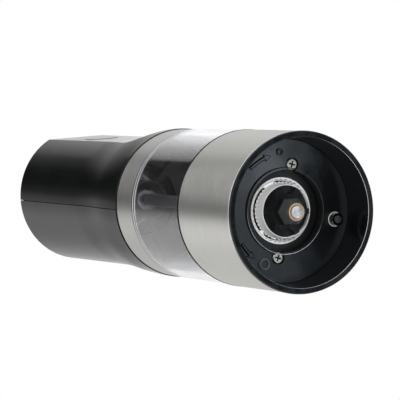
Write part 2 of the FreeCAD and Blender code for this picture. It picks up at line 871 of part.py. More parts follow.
def build_button():
    """Round push button in the facet, its return spring, switch and board."""
    level = size("button_level")
    face = -size("facet_offset")
    inner = face + size("shell_wall")
    cap = cylinder_along_y("button_cap", size("button_radius"), face - 0.12, inner + 0.4, 0, level)
    flange_radius = size("button_radius") + 1.2
    flange = cylinder_along_y("button_flange", flange_radius, inner + 0.2, inner + 1.0, 0, level)
    stem = cylinder_along_y("button_stem", 1.7, inner + 0.8, inner + 1.4, 0, level)
    piece("push_button", fuse("push_button_solid", cap, flange, stem))

    board_face = as_size(-17.0)
    wire = 0.5
    spring_length = board_face - (inner + 1.0)
    spring = coil("button_spring_coil", 5.6, wire, spring_length.value - RUNNING, 3)
    spring.Placement = Placement(Vector(), Rotation(Vector(1, 0, 0), -90))
    bind(spring, y=inner + 1.0 + RUNNING / 2 + wire / 2, z=level)
    piece("button_spring", spring)

    piece("circuit_board", box("circuit_board_slab", (as_size(-9.0), board_face, level - 17.0),
                               (as_size(9.0), board_face + 1.2, level + 17.0)))
    body = box("switch_case", (as_size(-3.0), board_face - 2.6, level - 3.0),
               (as_size(3.0), board_face, level + 3.0))
    actuator = cylinder_along_y("switch_actuator", 1.6, board_face - 3.4, board_face - 2.5, 0, level)
    piece("power_switch", fuse("power_switch_solid", body, actuator))


def build_frame():
    """Steel ring, the frame behind it, the cap plate over the chamber and their fixings."""
    ring_bottom = size("ring_bottom")
    ring_top = size("ring_top")
    foot = size("foot_level")
    outer = size("ring_radius")
    inner = outer - 1.1
    floor_top = size("gearbox_bottom")
    plug = size("chamber_bore") - 0.2
    plate_bottom = size("chamber_top") - 1.6
    chamfer = 0.25
    piece("steel_ring", turned("steel_ring_body", [
        (inner, ring_bottom),
        (outer - chamfer, ring_bottom),
        (outer, ring_bottom + chamfer),
        (outer, ring_top - chamfer),
        (outer - chamfer, ring_top),
        (inner, ring_top),
    ]))
    well = 6.0
    blank = turned("frame_blank", [
        (well, plate_bottom + 0.6),
        (plug, plate_bottom + 0.6),
        (plug, ring_bottom),
        (inner, ring_bottom),
        (inner, ring_top),
        (inner + 0.3, ring_top),
        (inner + 0.3, foot),
        (size("gearbox_radius") + 0.4, foot),
        (size("gearbox_radius") + 0.4, foot - 2.2),
        (inner - 2.0, foot - 2.2),
        (inner - 2.0, floor_top),
        (well, floor_top),
    ])
    openings = []
    screws = []
    for side in (-1, 1):
        x, y = shell_screw_place(side)
        number = side + 1
        openings.append(cylinder("frame_screw_way_%d" % number, 1.4, foot - 5.0, foot + 1.0, x, y))
        openings.append(cylinder("frame_driver_way_%d" % number, 3.0, plate_bottom, floor_top + 1.0, x, y))
        screws.append(pan_screw("shell_screw_%d" % number, x, y, foot - 2.2, 1.25, 12.0, 2.7, 1.8))
    pad_places = contact_places()
    for number, (x, y) in enumerate(pad_places):
        openings.append(cylinder("frame_contact_way_%d" % number, 1.3, plate_bottom, floor_top + 1.0, x, y))
    piece("motor_frame", cut("motor_frame_drilled", blank, *openings))
    piece("shell_screws", group("shell_screws_pair", *screws))

    plate = tube("cap_plate_blank", well, plug, plate_bottom, plate_bottom + 0.6)
    windows = [
        cylinder("cap_window_%d" % number, 1.7, plate_bottom - 1.0, plate_bottom + 2.0, x, y)
        for number, (x, y) in enumerate(pad_places)
    ]
    piece("cap_plate", cut("cap_plate_drilled", plate, *windows))
    pads = [
        cylinder("contact_pin_%d" % number, 1.3, plate_bottom - 0.3, floor_top + 0.6, x, y)
        for number, (x, y) in enumerate(pad_places)
    ]
    piece("lamp_contacts", group("lamp_contacts_pair", *pads))
    seal_bottom = size("chamber_top") + 0.05
    piece("chamber_seal", tube("chamber_seal_body", plug + 0.1, outer - 0.7, seal_bottom, ring_bottom))


def contact_places():
    """Centres of the two contact pins that meet the lamp strips."""
    azimuth = math.radians(size("lamp_azimuth").value)
    middle = size("housing_bore") - 0.85
    places = []
    for side in (-1, 1):
        across = side * 2.2
        x = middle * math.cos(azimuth) - across * math.sin(azimuth)
        y = middle * math.sin(azimuth) + across * math.cos(azimuth)
        places.append((x, y))
    return places


def build_gearbox():
    """One planetary stage: fixed ring gear, sun on the motor shaft, three planets, carrier."""
    bottom = size("gearbox_bottom")
    outer = size("gearbox_radius")
    level = size("gear_level")
    width = size("gear_width")
    module = size("gear_module")
    motor = size("motor_level")
    cover = motor - 1.2
    ring_radius = outer - 1.0
    piece("gearbox_housing", turned("gearbox_housing_body", [
        (6.0, bottom),
        (outer, bottom),
        (outer, cover),
        (ring_radius, cover),
        (ring_radius, bottom + 1.4),
        (6.0, bottom + 1.4),
    ]))
    step = 360.0 / RING_TEETH
    blank = Part.makeCylinder(ring_radius.value, width.value, Vector(0, 0, level.value))
    phase = PLANET_ANGLES[0] % step
    space = gear_shape(RING_TEETH, 1.25, 0.9, -0.14, level.value - 1, width.value + 2, phase)
    piece("ring_gear", plain("ring_gear_toothed", blank.cut(space)))

    sun = gear_shape(SUN_TEETH, 0.9, 1.2, 0.14, level.value + 0.1, width.value, 0)
    hole = Part.makeCylinder(1.0, 20, Vector(0, 0, level.value - 5))
    piece("sun_gear", plain("sun_gear_toothed", sun.cut(hole)))

    orbit = module * ((SUN_TEETH + PLANET_TEETH) / 2)
    for number, angle in enumerate(PLANET_ANGLES, start=1):
        phase = angle + 180 + 180 / PLANET_TEETH
        planet = gear_shape(PLANET_TEETH, 0.9, 1.2, 0.14, 0, width.value - 0.2, phase)
        planet = planet.cut(Part.makeCylinder(1.6, 20, Vector(0, 0, -5)))
        gear = plain("planet_gear_%d_toothed" % number, planet)
        x, y = polar(orbit, angle)
        bind(gear, x=x, y=y, z=level + 0.1)
        piece("planet_gear_%d" % number, gear)

    carrier_bottom = bottom + 1.6
    carrier = cylinder("carrier_disc", orbit + 3.4, carrier_bottom, level - 0.1)
    pins = []
    for number, angle in enumerate(PLANET_ANGLES):
        x, y = polar(orbit, angle)
        pins.append(cylinder("carrier_pin_%d" % number, 1.5, level - 0.5, level + width, x, y))
    piece("planet_carrier", fuse("planet_carrier_pinned", carrier, *pins))

    socket = cylinder("socket_outside", 5.0, size("chamber_top") - 1.2, carrier_bottom)
    hexagon = doc.addObject("Part::Prism", "socket_hexagon")
    hexagon.Polygon = 6
    bind(hexagon, Circumradius=size("shaft_radius") + 0.12, Height=12.0, z=size("chamber_top") - 3.0)
    collar = cylinder("socket_mouth", size("shaft_radius") + 0.2, size("chamber_top") - 3.0,
                      size("ring_bottom") + 0.9)
    piece("drive_socket", cut("drive_socket_bored", socket, hexagon, collar))


def build_motor():
    level = size("motor_level")
    radius = size("motor_radius")
    top = level + size("motor_length")
    gears = size("gear_level")
    plate = tube("motor_plate_blank", 3.4, size("gearbox_radius"), level - 1.2, level)
    screw_x = as_size(8.0)
    ways = [
        cylinder("motor_screw_way_%d" % number, 1.35, level - 3.0, level + 1.0, screw_x * side, 0)
        for number, side in enumerate((-1, 1))
    ]
    piece("motor_plate", cut("motor_plate_drilled", plate, *ways))

    can = turned("motor_can_body", [
        (1.15, level),
        (radius, level),
        (radius, top),
        (0, top),
        (0, level + 5.0),
        (1.15, level + 5.0),
    ])
    pilots = [
        cylinder("motor_pilot_%d" % number, 1.2, level - 1.0, level + 4.4, screw_x * side, 0)
        for number, side in enumerate((-1, 1))
    ]
    piece("motor_can", cut("motor_can_drilled", can, *pilots))
    screws = [
        pan_screw("motor_screw_%d" % number, screw_x * side, as_size(0), level - 1.2, 1.2, 5.0, 2.0, 1.0)
        for number, side in enumerate((-1, 1))
    ]
    piece("motor_screws", group("motor_screws_pair", *screws))
    piece("motor_shaft", cylinder("motor_shaft_rod", 1.0, gears + 0.1, level + 4.6))
    cap = cylinder("motor_cap_disc", radius - 0.8, top, top + 2.2)
    piece("motor_cap", cap)
    tabs = [
        box("motor_tab_%d" % number,
            (as_size(side * 7.0 - 1.2), as_size(-0.25), top + 2.2),
            (as_size(side * 7.0 + 1.2), as_size(0.25), top + 4.6))
        for number, side in enumerate((-1, 1))
    ]
    piece("motor_tabs", group("motor_tabs_pair", *tabs))


def build_cells():
    """Four cells in a carrier, alternately up and down, with springs at their flat ends."""
    level = size("carrier_level")
    ceiling = size("total_height") - size("shell_wall") - 0.3
    floor_top = level + 1.8
    roof = ceiling - 1.8
    plate_radius = size("shell_bore") - 0.3
    trim = 22.8
    plates = []
    for name, low, high in (("lower", level, floor_top), ("upper", roof, ceiling)):
        disc = cylinder("cell_plate_" + name, plate_radius, low, high)
        front = box("cell_plate_front_" + name, (as_size(-40.0), as_size(-40.0), low - 1.0),
                    (as_size(40.0), as_size(-trim), high + 1.0))
        plates.append(cut("cell_plate_trimmed_" + name, disc, front))
    posts = [cylinder("cell_post_middle", 2.8, floor_top - 0.5, roof + 0.5)]
    post_circle = 17.2
    for number, azimuth in enumerate((180, 0, 90)):
        x, y = polar(as_size(post_circle), azimuth)
        posts.append(cylinder("cell_post_%d" % number, 2.4, floor_top - 0.5, roof + 0.5, x, y))
    piece("cell_carrier", fuse("cell_carrier_joined", *plates, *posts))

    offset = size("cell_offset")
    radius = size("cell_radius")
    length = size("cell_length")
    nub = 1.2
    sheet_gap = 0.4
    wire = 0.7
    spring_length = (roof - floor_top).value - 2 * sheet_gap - length.value - nub
    cells = []
    springs = []
    links = []
    low = floor_top + sheet_gap
    high = roof - sheet_gap
    corners = ((-1, -1, True), (1, -1, False), (1, 1, True), (-1, 1, False))
    for number, (side_x, side_y, upright) in enumerate(corners):
        x = offset * side_x
        y = offset * side_y
        if upright:
            spring_level = low
            body_bottom = low + spring_length
            nub_bottom = body_bottom + length
        else:
            spring_level = high - spring_length
            body_bottom = low + nub
            nub_bottom = low
        body = cylinder("cell_body_%d" % number, radius, body_bottom, body_bottom + length, x, y)
        end = cylinder("cell_nub_%d" % number, 2.6, nub_bottom, nub_bottom + nub, x, y)
        cells.append(fuse("cell_%d" % number, body, end))
        spring = coil("cell_spring_%d" % number, 3.2, wire, spring_length, 4)
        bind(spring, x=x, y=y, z=spring_level + wire / 2)
        springs.append(spring)
        for place, (bottom, top) in enumerate(((floor_top, low), (high, roof))):
            name = "contact_leaf_%d_%d" % (number, place)
            links.append(cylinder(name, 5.2, bottom, top, x, y))
    piece("cells", group("cells_four", *cells))
    piece("cell_springs", group("cell_springs_four", *springs))
    piece("cell_contacts", group("cell_contacts_eight", *links))


def check_and_write():
    doc.recompute()
    for item in doc.Objects:
        if "Invalid" in item.State or "Error" in item.State:
            raise RuntimeError("%s: %s" % (item.Label, item.State))
    for label, item in pieces.items():
        if item.Shape.isNull() or not item.Shape.isValid() or not item.Shape.Solids:
            raise RuntimeError("%s has no valid solid" % label)
    os.makedirs("parts", exist_ok=True)
    for label, item in pieces.items():
        item.Shape.exportStep("parts/%s.step" % label)
        print("%-16s %2d solid(s) %10.1f mm3" % (label, len(item.Shape.Solids), item.Shape.Volume))


fill_sheet()
build_base()
build_chamber()
build_drive()
build_handle()
check_and_write()
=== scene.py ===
"""Finishes, small detail pieces, light and camera for the pepper mill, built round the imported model."""

import math

import bmesh
import bpy
from mathutils import Matrix, Vector


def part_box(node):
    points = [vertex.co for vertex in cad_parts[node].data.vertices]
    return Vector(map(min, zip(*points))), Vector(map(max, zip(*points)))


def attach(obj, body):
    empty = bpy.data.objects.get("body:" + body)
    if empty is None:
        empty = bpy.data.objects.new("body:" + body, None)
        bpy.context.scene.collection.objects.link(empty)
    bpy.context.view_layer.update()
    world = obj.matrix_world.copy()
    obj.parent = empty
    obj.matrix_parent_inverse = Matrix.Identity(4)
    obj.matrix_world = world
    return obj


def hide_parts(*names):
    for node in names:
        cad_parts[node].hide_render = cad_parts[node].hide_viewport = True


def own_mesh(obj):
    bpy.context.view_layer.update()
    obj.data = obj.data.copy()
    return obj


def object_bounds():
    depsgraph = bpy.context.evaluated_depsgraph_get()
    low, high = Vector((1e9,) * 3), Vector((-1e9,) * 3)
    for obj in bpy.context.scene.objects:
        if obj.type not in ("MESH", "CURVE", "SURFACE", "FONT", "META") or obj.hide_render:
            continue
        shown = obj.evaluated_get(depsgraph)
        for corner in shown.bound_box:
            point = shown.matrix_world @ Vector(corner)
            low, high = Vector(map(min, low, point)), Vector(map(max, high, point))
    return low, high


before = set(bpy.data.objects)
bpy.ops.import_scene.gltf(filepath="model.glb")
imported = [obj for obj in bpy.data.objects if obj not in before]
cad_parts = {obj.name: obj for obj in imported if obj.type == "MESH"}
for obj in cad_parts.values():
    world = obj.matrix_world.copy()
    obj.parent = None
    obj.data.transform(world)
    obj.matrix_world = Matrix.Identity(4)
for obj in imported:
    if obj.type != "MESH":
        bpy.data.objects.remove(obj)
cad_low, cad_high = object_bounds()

MM = 0.001

# The photograph's viewing direction, as a camera in the mill's own frame.
CAMERA_PLACE = (-0.4808, -0.0783, -0.8934)
CAMERA_RIGHT = (0.89423, 0.06263, -0.44319)
CAMERA_UP = (0.08711, -0.99558, 0.03507)
CAMERA_FORWARD = (0.43903, 0.06996, 0.89574)
CAMERA_LENS = 241.5
CAMERA_SENSOR = 36.0

# Heights where a colour changes, in millimetres above the rim: a painted sheen on the knob's hub and painted shade
# on the deep ceramic.
KNOB_SHEEN_BELOW = 9.3
CERAMIC_UNSHADED_BELOW = 19.5
CERAMIC_SHADED_ABOVE = 23.0
CELL_BAND_MIDDLE = 188.0
CELL_BAND_HALF = 5.0
# Sizes of surface detail in millimetres.
PLASTIC_GRAIN = 0.35
BRUSH_LINE = 0.11
BRUSH_DEPTH = 0.0011
BRUSH_STRETCH = (0.02, 0.02, 1.0)
BRUSH_CONTRAST = 0.08

# Beads round the mill's axis: radius, height and thickness in millimetres.
RIM_EDGE = (28.98, 0.22, 0.21)
LIP_EDGE = (16.60, 13.64, 0.15)
SLEEVE_EDGE = (30.98, 1.25, 0.20)
SLEEVE_SEAM = (30.66, 45.10, 0.42)
RING_SEAM = (30.28, 88.40, 0.32)
GAP_FILLER = (11.75, 18.7, 0.22)
CHAMBER_EDGE = (28.42, 87.0, 0.30)
LAMP_RIM_RADIUS = 2.72
LAMP_RIM_THICKNESS = 0.15

# Size marks: the ring's azimuth, distance from the axis and radius, and the arrow's tip and tail azimuths.
FINE_MARK = (-92.0, 22.8, 1.3, -102.5, -128.5)
COARSE_MARK = (118.0, 22.1, 2.2, 130.5, 150.5)
MARK_RING_WIDTH = 0.5
MARK_RING_BEAD = 0.11
ARROW_BEAD = 0.14
ARROW_HEAD_LENGTH = 7.0

PARTING_SETBACK = 1.0
PARTING_DEPTH = 1.0

# The studio's glow as pairs of azimuth in degrees and level, for four heights of the sky.
OVERHEAD = ((0, 0.80), (60, 0.50), (95, 0.40), (116, 0.50), (128, 0.58), (143, 0.64), (155, 0.50),
            (179, 0.30), (187, 0.11), (203, 0.03), (217, 0.02), (231, 0.04), (243, 0.11), (256, 0.22),
            (277, 0.38), (320, 0.62), (353, 0.84), (360, 0.80))
UPPER_BAND = ((0, 1.10), (60, 0.90), (120, 0.95), (146, 1.05), (160, 0.95), (168, 0.70), (176, 0.30),
              (184, 0.10), (200, 0.05), (254, 0.05), (257, 0.45), (266, 0.75), (290, 1.10), (360, 1.10))
PANELS = ((0, 0.30), (40, 0.28), (75, 0.32), (100, 0.50), (140, 0.82), (158, 1.05), (171, 1.00),
          (175, 0.10), (181, 0.04), (186, 0.10), (191, 0.60), (203, 1.30), (225, 1.40), (240, 1.00),
          (265, 0.36), (300, 0.28), (320, 0.28), (360, 0.30))
DESK = ((0, 0.35), (60, 0.60), (110, 0.85), (250, 0.85), (300, 0.60), (360, 0.35))
# The patch of sky that the floor of the mouth mirrors, and its colour.
MOUTH_PATCH = (9, -63)
MOUTH_GLOW = [2.25, 2.50, 2.75]


class NodeTree:
    """A node tree, emptied, with short ways to fill it."""

    def __init__(self, tree):
        self.tree = tree
        self.tree.nodes.clear()

    def add(self, kind, **settings):
        node = self.tree.nodes.new(kind)
        for key, value in settings.items():
            setattr(node, key, value)
        return node

    def link(self, source, target):
        self.tree.links.new(source, target)

    def feed(self, target, value):
        """A number, a colour or a node output into an input."""
        if isinstance(value, bpy.types.NodeSocket):
            self.link(value, target)
        elif isinstance(value, (tuple, list)) and len(target.default_value) == 4:
            target.default_value = (*value[:3], 1.0)
        else:
            target.default_value = value

    def math(self, operation, first, second=0.0, third=0.0):
        node = self.add("ShaderNodeMath", operation=operation)
        for target, value in zip(node.inputs, (first, second, third)):
            self.feed(target, value)
        return node.outputs[0]

    def remap(self, value, low, high, out_low, out_high, smooth=False):
        node = self.add("ShaderNodeMapRange")
        if smooth:
            node.interpolation_type = "SMOOTHSTEP"
        for target, number in zip(node.inputs, (value, low, high, out_low, out_high)):
            self.feed(target, number)
        return node.outputs[0]

    def blend(self, factor, first, second):
        """Colour mix."""
        node = self.add("ShaderNodeMix", data_type="RGBA")
        self.feed(node.inputs[0], factor)
        self.feed(node.inputs[6], first)
        self.feed(node.inputs[7], second)
        return node.outputs[2]


class Tree(NodeTree):
    """One material's node tree with its Principled shader."""

    def __init__(self, name):
        self.material = bpy.data.materials.new(name)
        self.material.use_nodes = True
        super().__init__(self.material.node_tree)
        self.output = self.add("ShaderNodeOutputMaterial")
        self.shader = self.add("ShaderNodeBsdfPrincipled")
        self.link(self.shader.outputs[0], self.output.inputs["Surface"])
        self.place = self.add("ShaderNodeTexCoord").outputs["Object"]
        self.normal = None

    def fixed(self, **values):
        """Constant shader values, each on the shader's own socket."""
        for key, value in values.items():
            self.feed(self.shader.inputs[key.replace("_", " ")], value)

    def scaled(self, scale):
        """Object coordinates in millimetres times a scale for each axis."""
        node = self.add("ShaderNodeMapping")
        self.link(self.place, node.inputs["Vector"])
        node.inputs["Scale"].default_value = [each / MM for each in scale]
        return node.outputs[0]

    def noise(self, size, detail=2.0, rough=0.5, stretch=(1, 1, 1), distortion=0.0, vector=None):
        """Noise from 0 to 1 with features about size millimetres across."""
        node = self.add("ShaderNodeTexNoise")
        node.inputs["Scale"].default_value = 1.0
        node.inputs["Detail"].default_value = detail
        node.inputs["Roughness"].default_value = rough
        node.inputs["Distortion"].default_value = distortion
        self.link(vector or self.scaled([each / size for each in stretch]), node.inputs["Vector"])
        return node.outputs[0]

    def cells(self, size, output="Distance", vector=None):
        """A cell pattern with cells about size millimetres across."""
        node = self.add("ShaderNodeTexVoronoi", feature="F1")
        node.inputs["Scale"].default_value = 1.0
        self.link(vector or self.scaled([1 / size] * 3), node.inputs["Vector"])
        return node.outputs[output]

    def axes(self):
        node = self.add("ShaderNodeSeparateXYZ")
        self.link(self.place, node.inputs[0])
        return node.outputs

    def radius_mm(self):
        """Distance from the mill's axis in millimetres."""
        x, y, _ = self.axes()
        squares = self.math("ADD", self.math("MULTIPLY", x, x), self.math("MULTIPLY", y, y))
        return self.math("MULTIPLY", self.math("SQRT", squares), 1 / MM)

    def relief(self, height, depth_mm):
        """Adds a bump of depth_mm for height 0 to 1 on top of those before."""
        node = self.add("ShaderNodeBump")
        node.inputs["Strength"].default_value = 1.0
        node.inputs["Distance"].default_value = depth_mm * MM
        self.feed(node.inputs["Height"], height)
        if self.normal is not None:
            self.link(self.normal, node.inputs["Normal"])
        self.normal = node.outputs[0]

    def soft_edges(self, radius_mm):
        """Rounds sharp edges in the shading."""
        node = self.add("ShaderNodeBevel", samples=4)
        node.inputs["Radius"].default_value = radius_mm * MM
        self.normal = node.outputs[0]

    def done(self):
        if self.normal is not None:
            self.link(self.normal, self.shader.inputs["Normal"])
        return self.material


def direction(azimuth, elevation):
    """A unit vector from degrees round +Z from +X and degrees above the horizon."""
    flat = math.cos(math.radians(elevation))
    return (flat * math.cos(math.radians(azimuth)), flat * math.sin(math.radians(azimuth)),
            math.sin(math.radians(elevation)))


def scratches(tree, size, share):
    """Fine crossing hairlines, 0 to 1: thin bright lines where two stretched noises peak."""
    one = tree.noise(size, 1.0, 0.4, (0.15, 6.0, 1.0), 0.3)
    two = tree.noise(size, 1.0, 0.4, (5.0, 0.2, 0.35), 0.2)
    lines = tree.math("MAXIMUM", one, two)
    return tree.remap(lines, 1.0 - share, 1.0 - share + 0.06, 0.0, 1.0)


def plastic(name, colour, rough, grain_depth=0.0015, wave=0.0, smudge=0.08, dust=0.02, edge=0.0,
            cone=0.0, specular=0.5, sheen_below=None):
    """Moulded plastic: fine grain, slow sink waves, handling smudges, hairlines and a little dust.
    cone tilts the shading of flat faces as if they sloped away from the axis; the mesh stays flat.
    Below the given height the colour turns a lighter grey, a painted sheen."""
    tree = Tree(name)
    if edge:
        tree.soft_edges(edge)
    cloud = tree.noise(14.0, 3.0, 0.55)
    lighter = [each * 1.15 for each in colour]
    shade = tree.blend(tree.remap(cloud, 0.35, 0.65, 0.0, 1.0), colour, lighter)
    # Painted sheen: below the given height the colour blends to a lighter grey.
    if sheen_below:
        _, _, z = tree.axes()
        painted_sheen = tree.remap(z, (sheen_below - 0.4) * MM, (sheen_below + 0.4) * MM, 1.0, 0.0, True)
        shade = tree.blend(painted_sheen, shade, [0.060, 0.062, 0.064])
    specks = tree.remap(tree.noise(0.45, 1.0, 0.5), 0.74, 0.80, 0.0, dust * 10)
    tree.feed(tree.shader.inputs["Base Color"], tree.blend(specks, shade, [0.16, 0.155, 0.15]))
    fingers = tree.remap(tree.noise(9.0, 4.0, 0.6, (1, 1, 0.6), 0.8), 0.42, 0.62, 0.0, smudge, True)
    hair = tree.math("MULTIPLY", scratches(tree, 2.2, 0.27), 0.10)
    tree.feed(tree.shader.inputs["Roughness"], tree.math("ADD", tree.math("ADD", fingers, hair), rough))
    tree.relief(tree.noise(PLASTIC_GRAIN, 2.0, 0.6), grain_depth)
    if wave:
        tree.relief(tree.noise(16.0, 1.0, 0.4), wave)
    if cone:
        tree.relief(tree.math("MULTIPLY", tree.radius_mm(), cone), 1.0)
    tree.fixed(IOR=1.5, Specular_IOR_Level=specular)
    return tree.done()


def brushed(name, colour, rough, anisotropic, edge):
    """Metal brushed round the axis: lines at three sizes along the directions where the stretch is small."""
    tree = Tree(name)
    tree.soft_edges(edge)
    fine = tree.noise(BRUSH_LINE, 2.0, 0.6, BRUSH_STRETCH)
    middle = tree.noise(BRUSH_LINE * 2.6, 2.0, 0.6, [each if each >= 1 else each * 1.3 for each in BRUSH_STRETCH])
    broad = tree.noise(BRUSH_LINE * 9, 2.0, 0.5, [each if each >= 1 else each * 3 for each in BRUSH_STRETCH])
    lines = tree.math("ADD", tree.math("MULTIPLY", fine, 0.46), tree.math("MULTIPLY", middle, 0.40))
    lines = tree.math("ADD", lines, tree.math("MULTIPLY", broad, 0.14))
    dark = [each * (1 - BRUSH_CONTRAST) for each in colour]
    light = [min(1.0, each * (1 + BRUSH_CONTRAST)) for each in colour]
    shade = tree.blend(tree.remap(lines, 0.36, 0.64, 0.0, 1.0), dark, light)
    stain = tree.remap(tree.noise(11.0, 3.0, 0.6, distortion=0.6), 0.55, 0.72, 0.0, 0.12, True)
    tree.feed(tree.shader.inputs["Base Color"], tree.blend(stain, shade, [each * 0.75 for each in colour]))
    tree.feed(tree.shader.inputs["Roughness"], tree.remap(lines, 0.3, 0.7, rough - 0.05, rough + 0.08))
    tree.relief(fine, BRUSH_DEPTH)
    tree.relief(middle, BRUSH_DEPTH * 1.5)
    tree.fixed(Metallic=1.0)
    around = tree.add("ShaderNodeTangent", direction_type="RADIAL", axis="Z")
    tree.link(around.outputs[0], tree.shader.inputs["Tangent"])
    tree.fixed(Anisotropic=anisotropic, Anisotropic_Rotation=0.25)
    return tree.done()


def turned_metal(name, colour, rough, tarnish, groove=0.12, depth=0.001, edge=0.0):
    """Lathe-turned metal: rings at each radius and height, and tarnish in patches."""
    tree = Tree(name)
    if edge:
        tree.soft_edges(edge)
    _, _, z = tree.axes()
    both = tree.add("ShaderNodeCombineXYZ")
    tree.feed(both.inputs[0], tree.math("MULTIPLY", tree.radius_mm(), 1 / groove))
    tree.feed(both.inputs[1], tree.math("MULTIPLY", z, 1 / MM / groove))
    rings = tree.noise(1.0, 2.0, 0.6, vector=both.outputs[0])
    patches = tree.remap(tree.noise(1.8, 4.0, 0.65), 0.48, 0.72, 0.0, 0.55, True)
    shade = tree.blend(tree.remap(rings, 0.35, 0.65, 0.0, 1.0), [each * 0.86 for each in colour], colour)
    tree.feed(tree.shader.inputs["Base Color"], tree.blend(patches, shade, list(tarnish)))
    tree.feed(tree.shader.inputs["Roughness"], tree.math("MULTIPLY_ADD", patches, 0.25, rough))
    tree.relief(rings, depth)
    tree.fixed(Metallic=1.0)
    return tree.done()


def plated(name, colour, rough, grain=0.5, stain=(0.35, 0.3, 0.22), recess=None):
    """Plated metal: slight dimpling, dull patches and, between two recess heights, painted shade."""
    tree = Tree(name)
    tree.soft_edges(0.08)
    dull = tree.remap(tree.noise(2.2, 4.0, 0.6), 0.45, 0.7, 0.0, 1.0, True)
    shade = tree.blend(tree.math("MULTIPLY", dull, 0.35), colour, list(stain))
    if recess:
        low, high = recess
        _, _, z = tree.axes()
        # Painted shade: a dark colour between the two recess heights.
        painted_shade_band = tree.math("COMPARE", z, (low + high) / 2 * MM, (high - low) / 2 * MM)
        shade = tree.blend(painted_shade_band, shade, [0.03, 0.028, 0.024])
    tree.feed(tree.shader.inputs["Base Color"], shade)
    tree.feed(tree.shader.inputs["Roughness"], tree.math("MULTIPLY_ADD", dull, 0.18, rough))
    tree.relief(tree.noise(grain, 2.0, 0.5), 0.003)
    tree.fixed(Metallic=1.0)
    return tree.done()


def mirror_plate():
    """Mirror-polished plate with faint polishing swirls."""
    tree = Tree("mirror_plate")
    swirl = tree.noise(3.0, 3.0, 0.6, distortion=2.0)
    tree.feed(tree.shader.inputs["Base Color"], tree.blend(swirl, [0.70, 0.71, 0.73], [0.78, 0.79, 0.80]))
    tree.feed(tree.shader.inputs["Roughness"], tree.remap(swirl, 0.3, 0.8, 0.02, 0.07))
    tree.relief(tree.noise(24.0, 1.0), 0.004)
    tree.fixed(Metallic=1.0)
    return tree.done()


def spangled_zinc():
    """Zinc-plated can: crystal spangle of differing greys with soft boundaries."""
    tree = Tree("spangled_zinc")
    grain = tree.cells(1.6, output="Color")
    value = tree.add("ShaderNodeSeparateColor")
    tree.link(grain, value.inputs[0])
    shade = tree.blend(value.outputs[0], [0.42, 0.43, 0.44], [0.62, 0.63, 0.64])
    tree.feed(tree.shader.inputs["Base Color"], shade)
    tree.feed(tree.shader.inputs["Roughness"], tree.remap(value.outputs[1], 0.0, 1.0, 0.28, 0.46))
    tree.relief(tree.noise(0.4, 3.0), 0.004)
    tree.fixed(Metallic=1.0)
    return tree.done()


def sintered():
    """Sintered steel: open grain, oily patches."""
    tree = Tree("sintered")
    pores = tree.remap(tree.noise(0.22, 3.0, 0.7), 0.55, 0.7, 0.0, 1.0)
    oil = tree.remap(tree.noise(5.0, 3.0, 0.5), 0.4, 0.6, 0.0, 1.0, True)
    tree.feed(tree.shader.inputs["Base Color"], tree.blend(pores, [0.46, 0.46, 0.47], [0.2, 0.2, 0.2]))
    tree.feed(tree.shader.inputs["Roughness"], tree.remap(oil, 0.0, 1.0, 0.5, 0.28))
    tree.relief(pores, 0.01)
    tree.fixed(Metallic=1.0)
    return tree.done()


def fired_ceramic():
    """Unglazed white ceramic: sanded grain, faint mottling and a trace of pepper dust. Its upper teeth,
    deeper inside, are painted dark as painted shade."""
    tree = Tree("fired_ceramic")
    mottle = tree.noise(2.6, 4.0, 0.6)
    shade = tree.blend(tree.remap(mottle, 0.35, 0.65, 0.0, 1.0), [0.90, 0.90, 0.90], [0.96, 0.96, 0.96])
    dust = tree.remap(tree.noise(0.30, 2.0, 0.6), 0.72, 0.80, 0.0, 0.25)
    _, _, z = tree.axes()
    # Painted shade: the ceramic turns dark above these heights, deeper inside.
    painted_shade = tree.remap(z, CERAMIC_UNSHADED_BELOW * MM, CERAMIC_SHADED_ABOVE * MM, 0.0, 1.0, True)
    dust_and_painted_shade = tree.blend(painted_shade, tree.blend(dust, shade, [0.33, 0.27, 0.20]), [0.020, 0.017, 0.014])
    tree.feed(tree.shader.inputs["Base Color"], dust_and_painted_shade)
    tree.feed(tree.shader.inputs["Roughness"], tree.remap(mottle, 0.3, 0.7, 0.30, 0.48))
    tree.relief(tree.noise(0.15, 3.0, 0.6), 0.003)
    tree.fixed(Subsurface_Weight=0.08, Subsurface_Radius=(0.001, 0.001, 0.001), Subsurface_Scale=0.5)
    return tree.done()


def clear(name, tint, rough, ior, wave, haze):
    """Clear plastic that lets lamps through, with hairlines, haze and slight moulding waves."""
    tree = Tree(name)
    hair = scratches(tree, 3.0, 0.26)
    cloud = tree.remap(tree.noise(10.0, 3.0), 0.5, 0.7, 0.0, haze, True)
    marked = tree.math("MULTIPLY_ADD", hair, 0.05, rough)
    tree.feed(tree.shader.inputs["Roughness"], tree.math("ADD", marked, cloud))
    paler = [min(1.0, each * 1.02) for each in tint]
    tree.feed(tree.shader.inputs["Base Color"], tree.blend(tree.noise(20.0), tint, paler))
    if wave:
        tree.relief(tree.noise(12.0, 1.0, 0.4), wave)
    tree.fixed(IOR=ior, Transmission_Weight=1.0)
    through = tree.add("ShaderNodeBsdfTransparent")
    through.inputs[0].default_value = (*[each * 0.97 for each in tint], 1.0)
    shadow = tree.add("ShaderNodeLightPath")
    mix = tree.add("ShaderNodeMixShader")
    tree.link(shadow.outputs["Is Shadow Ray"], mix.inputs[0])
    tree.link(tree.shader.outputs[0], mix.inputs[1])
    tree.link(through.outputs[0], mix.inputs[2])
    tree.link(mix.outputs[0], tree.output.inputs["Surface"])
    return tree.done()


